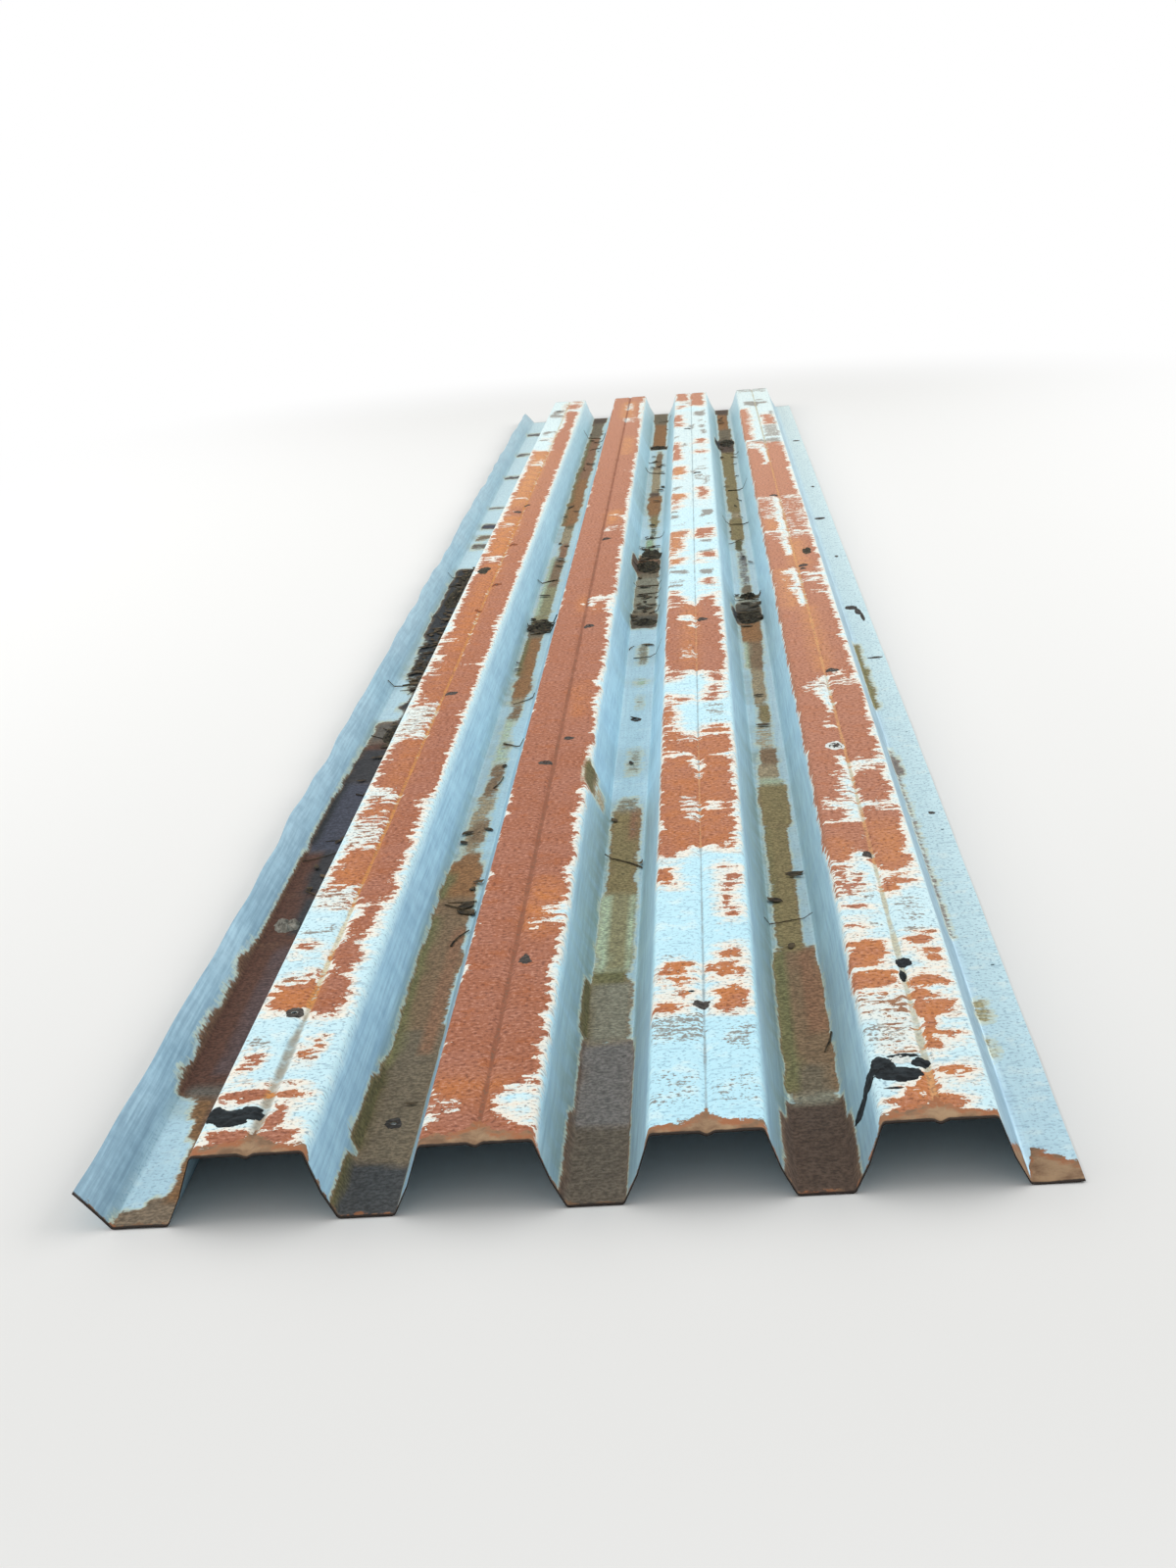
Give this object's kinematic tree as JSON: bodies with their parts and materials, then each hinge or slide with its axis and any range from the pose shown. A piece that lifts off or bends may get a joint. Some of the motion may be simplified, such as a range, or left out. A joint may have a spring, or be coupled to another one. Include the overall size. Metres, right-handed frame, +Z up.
{
  "type": "trapezoidal ribbed metal sheet",
  "caption": "Long roofing sheet of galvanised steel with flat-topped grooved ribs and narrow valleys, rusted along its crowns, laid over purlins with side and end laps.",
  "frame": {"origin": "on the floor plane, under the middle of the sheet's length and width", "axes": "+Y along the ribs from the near end to the far end, +X across from the lip to the flat flange, +Z up"},
  "size_m": [0.874, 6.1, 0.065],
  "materials": {
    "galvanised_steel": "weathered hot-dip zinc with fine streaks, worn to orange-brown rust along the crowns, brown dirt in the valleys"
  },
  "bodies": {
    "root": {"corrugated_sheet": "galvanised_steel"}
  },
  "joints": []
}
